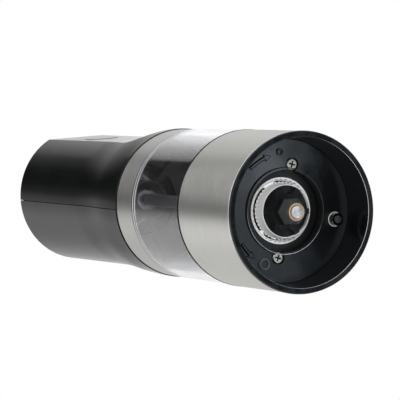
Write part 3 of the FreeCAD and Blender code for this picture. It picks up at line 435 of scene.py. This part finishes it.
def nylon():
    """Natural nylon: waxy, slightly mottled, with fine mould grain."""
    tree = Tree("natural_nylon")
    tree.soft_edges(0.06)
    mottle = tree.noise(3.0, 3.0)
    tree.feed(tree.shader.inputs["Base Color"], tree.blend(mottle, [0.74, 0.72, 0.66], [0.84, 0.83, 0.79]))
    tree.feed(tree.shader.inputs["Roughness"], tree.remap(mottle, 0.3, 0.7, 0.34, 0.5))
    tree.relief(tree.noise(0.3, 2.0), 0.004)
    tree.fixed(Subsurface_Weight=0.25, Subsurface_Radius=(0.002, 0.0018, 0.0015), Subsurface_Scale=0.6)
    return tree.done()


def rubber():
    """Black silicone with a dry bloom."""
    tree = Tree("black_rubber")
    bloom = tree.remap(tree.noise(1.5, 4.0, 0.65), 0.45, 0.7, 0.0, 1.0, True)
    shade = tree.blend(bloom, [0.012, 0.012, 0.013], [0.035, 0.035, 0.035])
    tree.feed(tree.shader.inputs["Base Color"], shade)
    tree.feed(tree.shader.inputs["Roughness"], tree.remap(bloom, 0.0, 1.0, 0.5, 0.75))
    tree.relief(tree.noise(0.12, 2.0), 0.003)
    tree.fixed(Specular_IOR_Level=0.08)
    return tree.done()


def board():
    """Green solder mask over copper traces, with tinned pads."""
    tree = Tree("solder_mask")
    x, _, z = tree.axes()
    flat = tree.add("ShaderNodeCombineXYZ")
    tree.feed(flat.inputs[0], tree.math("MULTIPLY", x, 0.45 / MM))
    tree.feed(flat.inputs[1], tree.math("MULTIPLY", z, 0.30 / MM))
    bricks = tree.add("ShaderNodeTexBrick", offset=0.37, squash=0.6)
    tree.link(flat.outputs[0], bricks.inputs["Vector"])
    bricks.inputs["Scale"].default_value = 1.0
    bricks.inputs["Mortar Size"].default_value = 0.07
    trace = bricks.outputs["Fac"]
    pads = tree.remap(tree.cells(3.1, vector=tree.scaled((1 / 3.1, 0.0, 1 / 3.1))), 0.14, 0.17, 1.0, 0.0)
    mask = tree.blend(trace, [0.012, 0.09, 0.035], [0.03, 0.20, 0.08])
    tree.feed(tree.shader.inputs["Base Color"], tree.blend(pads, mask, [0.66, 0.66, 0.63]))
    tree.feed(tree.shader.inputs["Metallic"], pads)
    tree.feed(tree.shader.inputs["Roughness"], tree.remap(tree.noise(0.6, 3.0), 0.3, 0.7, 0.22, 0.42))
    tree.relief(tree.math("MAXIMUM", trace, pads), 0.03)
    return tree.done()


def cell_jacket():
    """Battery sleeve: dark printed film with a plain light band, and bare nickel on the end faces."""
    tree = Tree("cell_jacket")
    coords = tree.add("ShaderNodeTexCoord")
    split = tree.add("ShaderNodeSeparateXYZ")
    tree.link(coords.outputs["Normal"], split.inputs[0])
    ends = tree.remap(tree.math("ABSOLUTE", split.outputs[2]), 0.7, 0.9, 0.0, 1.0)
    _, _, z = tree.axes()
    height = tree.math("MULTIPLY", z, 1 / MM)
    band = tree.math("COMPARE", height, CELL_BAND_MIDDLE, CELL_BAND_HALF)
    film = tree.blend(tree.noise(6.0, 2.0), [0.045, 0.06, 0.085], [0.06, 0.08, 0.11])
    film = tree.blend(band, film, [0.62, 0.60, 0.54])
    tree.feed(tree.shader.inputs["Base Color"], tree.blend(ends, film, [0.66, 0.65, 0.62]))
    tree.feed(tree.shader.inputs["Metallic"], ends)
    tree.feed(tree.shader.inputs["Roughness"], tree.remap(tree.noise(2.5, 3.0), 0.3, 0.7, 0.2, 0.36))
    tree.relief(tree.noise(0.8, 2.0), 0.004)
    return tree.done()


def milky():
    """Milky plastic that glows a little where light enters it, with flow marks."""
    tree = Tree("milky_plastic")
    flow = tree.noise(1.2, 3.0, 0.6)
    tree.feed(tree.shader.inputs["Base Color"], tree.blend(flow, [0.62, 0.61, 0.55], [0.80, 0.79, 0.74]))
    tree.feed(tree.shader.inputs["Roughness"], tree.remap(flow, 0.3, 0.7, 0.12, 0.25))
    tree.relief(tree.noise(0.4, 2.0), 0.002)
    tree.fixed(Subsurface_Weight=0.3, Subsurface_Radius=(0.001, 0.001, 0.001), Subsurface_Scale=0.5)
    return tree.done()


def cut_acrylic():
    """The machined edge of the clear wall: tool rings that catch the light, and paler patches painted as glints."""
    tree = Tree("cut_acrylic")
    rings = tree.noise(0.2, 2.0, 0.5, (0.05, 0.05, 1.0))
    # Painted glints: paler patches in the colour.
    painted_glints = tree.remap(tree.noise(3.5, 3.0, 0.6), 0.40, 0.62, 0.0, 1.0, True)
    shade = tree.blend(rings, [0.70, 0.70, 0.76], [0.90, 0.90, 0.96])
    tree.feed(tree.shader.inputs["Base Color"], tree.blend(painted_glints, shade, [0.97, 0.97, 1.0]))
    tree.feed(tree.shader.inputs["Roughness"], tree.remap(rings, 0.3, 0.7, 0.18, 0.34))
    tree.relief(rings, 0.01)
    tree.fixed(IOR=1.49)
    return tree.done()


def dress(finish, *nodes):
    """Gives carried CAD nodes a material in all their slots."""
    for name in nodes:
        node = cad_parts[name]
        if not node.material_slots:
            node.data.materials.append(finish)
        for each in node.material_slots:
            each.material = finish


def dress_outside():
    """Finishes of the base, the mouth, the burrs and the chamber."""
    dress(plastic("base_plastic", [0.003, 0.004, 0.005], rough=0.16, wave=0.03, edge=0.12), "base_housing")
    dress(plastic("floor_plastic", [0.003, 0.004, 0.005], rough=0.13, grain_depth=0.0008, wave=0.30, edge=0.16,
                  cone=0.10), "grinder_plate")
    dress(plastic("knob_plastic", [0.004, 0.005, 0.005], rough=0.18, edge=0.2, sheen_below=KNOB_SHEEN_BELOW),
          "adjuster_knob")
    dress(plastic("holder_plastic", [0.003, 0.0035, 0.003], rough=0.30, edge=0.10), "burr_holder")
    dress(brushed("sleeve_steel", [0.63, 0.625, 0.60], rough=0.31, anisotropic=0.87, edge=0.3), "steel_sleeve")
    dress(brushed("ring_steel", [0.53, 0.525, 0.505], rough=0.31, anisotropic=0.75, edge=0.12), "steel_ring")
    dress(clear("chamber_acrylic", [0.97, 0.97, 0.985], rough=0.0, ior=1.49, wave=0.003, haze=0.01), "chamber")
    dress(clear("bush_acrylic", [0.97, 0.97, 0.985], rough=0.02, ior=1.49, wave=0.0, haze=0.03), "shaft_bushing")
    dress(clear("lamp_epoxy", [0.97, 0.98, 1.0], rough=0.0, ior=1.53, wave=0.0, haze=0.02), "lamp")
    dress(plastic("collar_plastic", [0.02, 0.022, 0.024], rough=0.12, edge=0.08), "lamp_collar")
    dress(fired_ceramic(), "stator_burr", "rotor_burr")


def dress_metal():
    """Finishes of the screws, the shafts, the springs and the plate over the chamber."""
    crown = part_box("plate_screws")[0].z / MM
    dress(plated("zinc_screws", [0.80, 0.77, 0.68], rough=0.26, recess=(crown + 0.32, crown + 1.1)),
          "plate_screws", "motor_screws", "shell_screws")
    dress(turned_metal("brass_turned", [0.80, 0.60, 0.30], rough=0.20, tarnish=(0.50, 0.30, 0.18), edge=0.1),
          "brass_insert", "sun_gear")
    dress(turned_metal("shaft_ground", [0.84, 0.84, 0.87], rough=0.30, groove=0.09, tarnish=(0.62, 0.62, 0.65),
                       edge=0.1), "drive_shaft", "motor_shaft", "shaft_clip")
    dress(plated("spring_wire", [0.56, 0.56, 0.58], rough=0.28, grain=0.25, stain=(0.3, 0.3, 0.32)),
          "burr_spring", "button_spring", "cell_springs")
    dress(mirror_plate(), "cap_plate")


def dress_handle():
    """Finishes of the shells, the button and everything inside the handle."""
    dress(plastic("front_gloss", [0.0025, 0.003, 0.003], rough=0.13, grain_depth=0.0005, wave=0.010, smudge=0.04,
                  dust=0.003, edge=0.25), "front_shell")
    dress(plastic("rear_gloss", [0.004, 0.0045, 0.005], rough=0.16, grain_depth=0.0007, wave=0.010, smudge=0.04,
                  dust=0.003, edge=0.25), "rear_shell")
    dress(plastic("button_plastic", [0.003, 0.003, 0.003], rough=0.14, grain_depth=0.0005, smudge=0.04,
                  dust=0.003, edge=0.1), "push_button")
    dress(plastic("frame_plastic", [0.010, 0.010, 0.011], rough=0.34), "motor_frame", "gearbox_housing",
          "power_switch", "cell_carrier")
    dress(rubber(), "chamber_seal")
    dress(nylon(), "planet_gear_1", "planet_gear_2", "planet_gear_3", "motor_cap")
    dress(sintered(), "ring_gear", "planet_carrier", "drive_socket", "motor_plate")
    dress(spangled_zinc(), "motor_can")
    dress(plated("strip_brass", [0.74, 0.56, 0.27], rough=0.24, grain=0.4, stain=(0.42, 0.27, 0.14)),
          "lamp_strips", "lamp_contacts", "motor_tabs")
    dress(plated("contact_nickel", [0.70, 0.69, 0.65], rough=0.20), "cell_contacts")
    dress(board(), "lamp_board", "circuit_board")
    dress(cell_jacket(), "cells")


def lathe(name, outline, finish, body, centre=(0.0, 0.0), segments=192, teeth=0, tooth=0.0):
    """A turned piece from a closed outline of (radius, height) points in millimetres, optionally with
    teeth that move the outer points in and out."""
    mesh = bpy.data.meshes.new(name)
    shape = bmesh.new()
    columns = []
    for step in range(segments):
        angle = 2 * math.pi * step / segments
        swing = tooth * (1 if (step * teeth * 2 // segments) % 2 else 0)
        widest = max(radius for radius, _ in outline)
        column = []
        for radius, height in outline:
            reach = radius + (swing if radius > widest - 0.05 else 0.0)
            column.append(shape.verts.new((
                (centre[0] + reach * math.cos(angle)) * MM,
                (centre[1] + reach * math.sin(angle)) * MM,
                height * MM)))
        columns.append(column)
    for here, there in zip(columns, columns[1:] + columns[:1]):
        for index in range(len(outline)):
            after = (index + 1) % len(outline)
            shape.faces.new((here[index], there[index], there[after], here[after]))
    bmesh.ops.recalc_face_normals(shape, faces=shape.faces)
    shape.to_mesh(mesh)
    shape.free()
    mesh.shade_smooth()
    mesh.materials.append(finish)
    thing = bpy.data.objects.new(name, mesh)
    bpy.context.scene.collection.objects.link(thing)
    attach(thing, body)
    return thing


def bead(name, place, finish, body):
    """A thin round bead that runs all the way round. place is its radius, height and thickness."""
    radius, height, thickness = place
    sides = 12
    outline = []
    for step in range(sides):
        angle = 2 * math.pi * step / sides
        outline.append((radius + thickness * math.cos(angle), height + thickness * math.sin(angle)))
    return lathe(name, outline, finish, body)


def bright_edge(name, colour, rough, azimuth, spread, dull=0.12):
    """An edge bead with a painted highlight: bright round one azimuth and dull elsewhere. spread is the
    cosine from that azimuth where the bright part ends, and dull is the share of the colour left there."""
    tree = Tree(name)
    x, y, _ = tree.axes()
    way_x, way_y, _ = direction(azimuth, 0)
    along = tree.math("ADD", tree.math("MULTIPLY", x, way_x / MM), tree.math("MULTIPLY", y, way_y / MM))
    facing = tree.math("DIVIDE", along, tree.radius_mm())
    patchy = tree.remap(tree.noise(4.0, 3.0, 0.6), 0.40, 0.60, 0.8, 1.0, True)
    # Painted highlight: the colour is bright round the given azimuth.
    painted_highlight = tree.math("MULTIPLY", patchy, tree.remap(facing, spread - 0.35, spread + 0.35, 0.0, 1.0, True))
    tree.feed(tree.shader.inputs["Base Color"], tree.blend(painted_highlight, [each * dull for each in colour], colour))
    tree.feed(tree.shader.inputs["Roughness"], tree.remap(painted_highlight, 0.0, 1.0, rough + 0.1, rough))
    tree.relief(tree.noise(0.3, 2.0), 0.001)
    tree.fixed(Metallic=1.0)
    return tree.done()


def make_edges():
    """Fine edge lines that the CAD solids are too coarse for. The pale beads on the rim, the lip and the sleeve are
    painted highlights.
    """
    pale = [0.95, 0.96, 0.96]
    # Pale beads as painted highlights along the rim, the lip and the sleeve's edge.
    bead("rim_edge", RIM_EDGE, bright_edge("rim_painted_highlight", pale, rough=0.12, azimuth=50, spread=-0.3),
         "base")
    bead("lip_edge", LIP_EDGE, bright_edge("lip_painted_highlight", pale, rough=0.12, azimuth=105, spread=0.4),
         "base")
    bead("sleeve_edge", SLEEVE_EDGE,
         bright_edge("sleeve_painted_highlight", pale, rough=0.22, azimuth=232, spread=0.25, dull=0.25),
         "base")
    gap = rubber()
    bead("sleeve_seam", SLEEVE_SEAM, gap, "base")
    bead("ring_seam", RING_SEAM, gap, "handle")
    bead("gap_filler", GAP_FILLER, fired_ceramic(), "base")
    frosted = cut_acrylic()
    bead("chamber_edge", CHAMBER_EDGE, frosted, "base")
    lathe("chamber_lip", ((28.9, 87.9), (29.9, 87.9), (29.9, 88.1), (28.9, 88.1)), frosted, "base")
    lamp_low, lamp_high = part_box("lamp_collar")
    middle = (lamp_low + lamp_high) / 2 / MM
    ring = [(LAMP_RIM_RADIUS + LAMP_RIM_THICKNESS * math.cos(step * math.pi / 6),
             lamp_low.z / MM + LAMP_RIM_THICKNESS * math.sin(step * math.pi / 6)) for step in range(12)]
    lathe("lamp_rim", ring, milky(), "base", centre=(middle.x, middle.y), segments=64)


def mark_line(name, points, thickness, finish):
    """A fine raised bead that follows a mark on the floor of the mouth."""
    data = bpy.data.curves.new(name, "CURVE")
    data.dimensions = "3D"
    data.bevel_depth = thickness * MM
    data.bevel_resolution = 3
    line = data.splines.new("POLY")
    line.points.add(len(points) - 1)
    for point, place in zip(line.points, points):
        point.co = (*place, 1.0)
    line.use_cyclic_u = True
    data.materials.append(finish)
    thing = bpy.data.objects.new(name, data)
    bpy.context.scene.collection.objects.link(thing)
    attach(thing, "base")


def make_marks():
    """Crisp rims on the two rings and the two arrows of the size marks. The coarse ring's rims are painted pale
    grey as a painted highlight.
    """
    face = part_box("grinder_plate")[0].z + 0.2 * MM
    # The pale finish paints a highlight on the coarse ring's rims.
    pale = plastic("mark_painted_highlight", [0.13, 0.14, 0.15], 0.10, grain_depth=0.0005, specular=1.0)
    dark = plastic("mark_dull", [0.002, 0.002, 0.002], 0.35, grain_depth=0.0005, specular=0.1)

    def at(radius, azimuth):
        turn = math.radians(azimuth)
        return (radius * math.cos(turn) * MM, radius * math.sin(turn) * MM, face)

    for name, mark, finish in (("fine", FINE_MARK, dark), ("coarse", COARSE_MARK, pale)):
        azimuth, circle, radius, _, _ = mark
        centre = at(circle, azimuth)
        for edge, reach in (("outer", radius), ("inner", radius - MARK_RING_WIDTH)):
            points = [(centre[0] + reach * MM * math.cos(step * math.pi / 24),
                       centre[1] + reach * MM * math.sin(step * math.pi / 24), face) for step in range(48)]
            mark_line("mark_%s_%s" % (name, edge), points, MARK_RING_BEAD, finish)
    for name, mark in (("fine", FINE_MARK), ("coarse", COARSE_MARK)):
        _, _, _, tip, tail = mark
        neck = tip + math.copysign(ARROW_HEAD_LENGTH, tail - tip)
        steps = [neck + (tail - neck) * step / 12 for step in range(13)]
        points = [at(22.65, azimuth) for azimuth in steps]
        points += [at(21.75, azimuth) for azimuth in reversed(steps)]
        points += [at(20.9, neck), at(22.2, tip), at(23.5, neck)]
        mark_line("arrow_%s" % name, points, ARROW_BEAD, dark)


def make_shade_covers():
    """Black discs over the flat upper ends of the burrs, as painted shade that keeps the ceramic there dark."""
    finish = plastic("shade_plastic", [0.004, 0.005, 0.006], 0.4, edge=0.2)
    # Painted shade: black discs that keep the ceramic's upper ends dark.
    rotor_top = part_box("rotor_burr")[1].z / MM
    feed = ((4.9, rotor_top), (6.6, rotor_top), (6.4, rotor_top + 0.5), (4.9, rotor_top + 0.8))
    lathe("rotor_shade_disc", feed, finish, "rotor", segments=96)
    shade_ring = ((12.9, 31.02), (15.5, 31.02), (15.5, 31.9), (14.2, 31.9), (12.9, 31.3))
    lathe("stator_shade_ring", shade_ring, finish, "base")


def make_parting():
    """A black tongue behind the joint of the two shells, so that no light shows through it."""
    outer = {}
    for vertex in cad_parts["front_shell"].data.vertices:
        x, y, z = vertex.co
        if abs(y) < 0.001 * MM and x > 0:
            level = round(z / MM, 1)
            outer[level] = max(outer.get(level, 0.0), x)
    crown = max(outer) * MM
    setback, depth = PARTING_SETBACK * MM, PARTING_DEPTH * MM
    side = [(reach - setback, level * MM) for level, reach in sorted(outer.items())
            if reach > 26.5 * MM and level * MM < crown - 2.0 * MM]
    side.append((side[-1][0], crown - setback))
    path = side + [(-x, z) for x, z in reversed(side)]
    mesh = bpy.data.meshes.new("parting_tongue")
    shape = bmesh.new()
    rows = []
    for x, z in path:
        inward = x - math.copysign(depth, x)
        under = min(z, crown - setback - depth)
        rows.append([shape.verts.new((reach, y, height)) for reach, height, y in (
            (x, z, -0.4 * MM), (x, z, 0.27 * MM), (inward, under, 0.27 * MM), (inward, under, -0.4 * MM))])
    for here, there in zip(rows, rows[1:]):
        for index in range(4):
            after = (index + 1) % 4
            shape.faces.new((here[index], there[index], there[after], here[after]))
    shape.faces.new(rows[0])
    shape.faces.new(list(reversed(rows[-1])))
    bmesh.ops.recalc_face_normals(shape, faces=shape.faces)
    shape.to_mesh(mesh)
    shape.free()
    mesh.materials.append(rubber())
    tongue = bpy.data.objects.new("parting_tongue", mesh)
    bpy.context.scene.collection.objects.link(tongue)
    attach(tongue, "handle")


def make_live_spring():
    """The spring behind the button, as a copy with a mesh of its own, in place of the CAD node."""
    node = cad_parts["button_spring"]
    coil = bpy.data.objects.new("button_spring_live", node.data.copy())
    coil.matrix_world = node.matrix_world.copy()
    bpy.context.scene.collection.objects.link(coil)
    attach(coil, "handle")
    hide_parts("button_spring")
    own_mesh(coil)


def make_shaft_end():
    """The knurled lip of the brass insert and the domed, ringed end of the shaft."""
    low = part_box("brass_insert")[0].z / MM
    brass = turned_metal("brass_lip", [0.86, 0.62, 0.40], rough=0.22, tarnish=(0.62, 0.40, 0.26))
    lathe("insert_knurl", ((2.75, low - 0.25), (3.3, low - 0.25), (3.3, low + 0.6), (2.75, low + 0.6)), brass,
          "adjuster", segments=240, teeth=30, tooth=0.22)
    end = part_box("drive_shaft")[0].z / MM
    steel = turned_metal("shaft_end_turned", [0.92, 0.92, 0.96], rough=0.18, tarnish=(0.6, 0.6, 0.64),
                         groove=0.16, depth=0.002)
    outline = [(0.02, end + 0.3), (2.5, end + 0.3), (2.5, end - 0.05), (2.32, end - 0.22)]
    for radius in (1.8, 1.25, 0.7):
        drop = 0.55 - 0.075 * radius * radius
        outline.extend(((radius + 0.22, end - drop), (radius + 0.12, end - drop + 0.16),
                        (radius, end - drop - 0.04)))
    outline.append((0.02, end - 0.56))
    lathe("shaft_tip", outline, steel, "drive", segments=96)


def make_camera():
    data = bpy.data.cameras.new("photo_camera")
    data.sensor_width = CAMERA_SENSOR
    data.lens = CAMERA_LENS
    data.clip_start = 0.01
    camera = bpy.data.objects.new("photo_camera", data)
    back = [-each for each in CAMERA_FORWARD]
    turn = Matrix((CAMERA_RIGHT, CAMERA_UP, back)).transposed().to_4x4()
    camera.matrix_world = Matrix.Translation(CAMERA_PLACE) @ turn
    bpy.context.scene.collection.objects.link(camera)
    bpy.context.scene.camera = camera


def make_floor():
    """A pale round floor under the rim. It is clear from below, so that the mouth can be seen."""
    radius = 1.6
    mesh = bpy.data.meshes.new("floor")
    shape = bmesh.new()
    bmesh.ops.create_circle(shape, cap_ends=True, cap_tris=False, segments=96, radius=radius)
    shape.to_mesh(mesh)
    shape.free()
    floor = bpy.data.objects.new("floor", mesh)
    floor.location = (0, 0, cad_low.z - 0.02 * MM)
    bpy.context.scene.collection.objects.link(floor)
    tree = Tree("pale_floor")
    grain = tree.noise(3.0, 4.0, 0.6)
    tree.feed(tree.shader.inputs["Base Color"], tree.blend(grain, [0.78, 0.78, 0.775], [0.82, 0.82, 0.815]))
    tree.fixed(Roughness=0.6)
    under = tree.add("ShaderNodeNewGeometry")
    through = tree.add("ShaderNodeBsdfTransparent")
    mix = tree.add("ShaderNodeMixShader")
    tree.link(under.outputs["Backfacing"], mix.inputs[0])
    tree.link(tree.shader.outputs[0], mix.inputs[1])
    tree.link(through.outputs[0], mix.inputs[2])
    tree.link(mix.outputs[0], tree.output.inputs["Surface"])
    mesh.materials.append(tree.done())
    floor.visible_shadow = False
    floor.visible_diffuse = False
    floor.visible_glossy = False
    floor.visible_transmission = False


def softbox(name, toward, distance, size, power, aim=(0, 0, 0.08)):
    """A square area lamp that looks at the mill from a direction and doesn't show itself, even mirrored."""
    data = bpy.data.lights.new(name, "AREA")
    data.shape = "RECTANGLE"
    data.size, data.size_y = size
    data.energy = power
    lamp = bpy.data.objects.new(name, data)
    way = Vector(toward).normalized()
    lamp.location = Vector(aim) + way * distance
    lamp.rotation_mode = "QUATERNION"
    lamp.rotation_quaternion = way.to_track_quat("Z", "Y")
    bpy.context.scene.collection.objects.link(lamp)
    lamp.visible_camera = False
    lamp.visible_transmission = False
    lamp.visible_glossy = False


def make_world():
    """A studio as a glow by direction: pale panels on both sides with a dark gap between them, a backdrop
    overhead that fades into a dark corner, and a bright patch below that the floor of the mouth mirrors.
    The camera itself sees plain white behind the mill."""
    world = bpy.data.worlds.new("studio")
    world.use_nodes = True
    bpy.context.scene.world = world
    tree = NodeTree(world.node_tree)
    output = tree.add("ShaderNodeOutputWorld")
    way = tree.add("ShaderNodeTexCoord").outputs["Generated"]
    split = tree.add("ShaderNodeSeparateXYZ")
    tree.link(way, split.inputs[0])
    x, y, z = split.outputs

    def toward(azimuth, elevation):
        """Cosine of the angle from a fixed direction."""
        node = tree.add("ShaderNodeVectorMath", operation="DOT_PRODUCT")
        tree.link(way, node.inputs[0])
        node.inputs[1].default_value = direction(azimuth, elevation)
        return node.outputs["Value"]

    def stepped(value, stops):
        ramp = tree.add("ShaderNodeValToRGB")
        tree.link(value, ramp.inputs[0])
        elements = ramp.color_ramp.elements
        while len(elements) < len(stops):
            elements.new(0.5)
        for element, (position, level) in zip(elements, stops):
            element.position = position
            element.color = (level, level, level, 1)
        return ramp.outputs[0]

    def around(stops):
        """Levels by azimuth in degrees, joined across 0."""
        turn = tree.math("MULTIPLY", tree.math("ARCTAN2", y, x), 0.5 / math.pi)
        turn = tree.math("FRACT", tree.math("ADD", turn, 1.0))
        return stepped(turn, [(azimuth / 360, level) for azimuth, level in stops])

    overhead = around(OVERHEAD)
    panels = around(PANELS)
    desk = around(DESK)
    panels = tree.blend(tree.remap(z, -0.05, 0.20, 0.0, 1.0, True), desk, panels)
    band = around(UPPER_BAND)
    glance = toward(*MOUTH_PATCH)
    side = tree.remap(x, 0.36, 0.46, 0.03, 1.0, True)
    under = tree.math("MULTIPLY", side, tree.remap(y, 0.10, 0.26, 0.38, 1.0, True))
    under = tree.math("MULTIPLY", under, tree.remap(glance, 0.988, 0.996, 1.0, 0.06, True))
    low = tree.remap(glance, 0.88, 0.95, 0.0, 1.0, True)
    level = tree.blend(low, panels, tree.blend(under, [0.0, 0.0, 0.0], MOUTH_GLOW))
    level = tree.blend(tree.remap(z, 0.60, 0.80, 0.0, 1.0, True), level, band)
    level = tree.blend(tree.remap(z, 0.903, 0.912, 0.0, 1.0, True), level, overhead)
    path = tree.add("ShaderNodeLightPath")
    glow = tree.add("ShaderNodeBackground")
    tree.feed(glow.inputs["Color"], level)
    white = tree.add("ShaderNodeBackground")
    white.inputs["Color"].default_value = (1, 1, 1, 1)
    mix = tree.add("ShaderNodeMixShader")
    tree.link(path.outputs["Is Camera Ray"], mix.inputs[0])
    tree.link(glow.outputs[0], mix.inputs[1])
    tree.link(white.outputs[0], mix.inputs[2])
    tree.link(mix.outputs[0], output.inputs["Surface"])


def make_lights():
    softbox("mouth_box", toward=(-0.62, -0.30, -0.75), distance=1.0, size=(0.30, 0.30), power=3.7, aim=(0, 0, 0.02))
    softbox("top_box", toward=(0.1, -0.2, 1.0), distance=1.3, size=(0.8, 0.8), power=4)


dress_outside()
dress_metal()
dress_handle()
make_camera()
make_edges()
make_marks()
make_shade_covers()
make_parting()
make_live_spring()
make_shaft_end()
make_floor()
make_world()
make_lights()

bpy.context.scene.view_settings.view_transform = "Standard"
bpy.context.scene.view_settings.look = "None"
